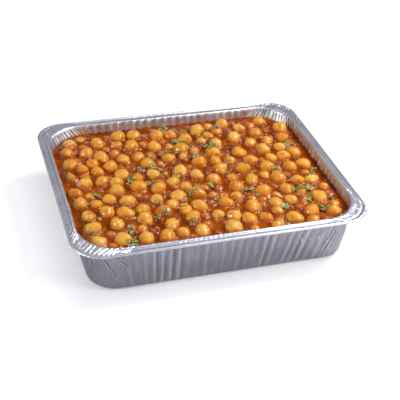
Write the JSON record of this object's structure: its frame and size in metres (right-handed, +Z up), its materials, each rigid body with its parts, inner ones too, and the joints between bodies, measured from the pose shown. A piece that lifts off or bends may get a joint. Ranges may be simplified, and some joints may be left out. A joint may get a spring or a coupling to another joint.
{
  "type": "tray of chickpeas",
  "caption": "Rectangular fluted foil catering tray with a pleated rolled rim, full of whole chickpeas in thick spiced tomato sauce with chopped coriander on top.",
  "frame": {"origin": "middle of the tray's underside, on the surface it stands on", "axes": "+X along the tray's long side, +Y along its short side, +Z up out of the open top"},
  "size_m": [0.324, 0.264, 0.065],
  "materials": {
    "foil": "bright pressed foil",
    "curry": "wet and glossy"
  },
  "bodies": {
    "root": {"foil_tray": "foil", "chickpea_curry": "curry"}
  },
  "joints": []
}
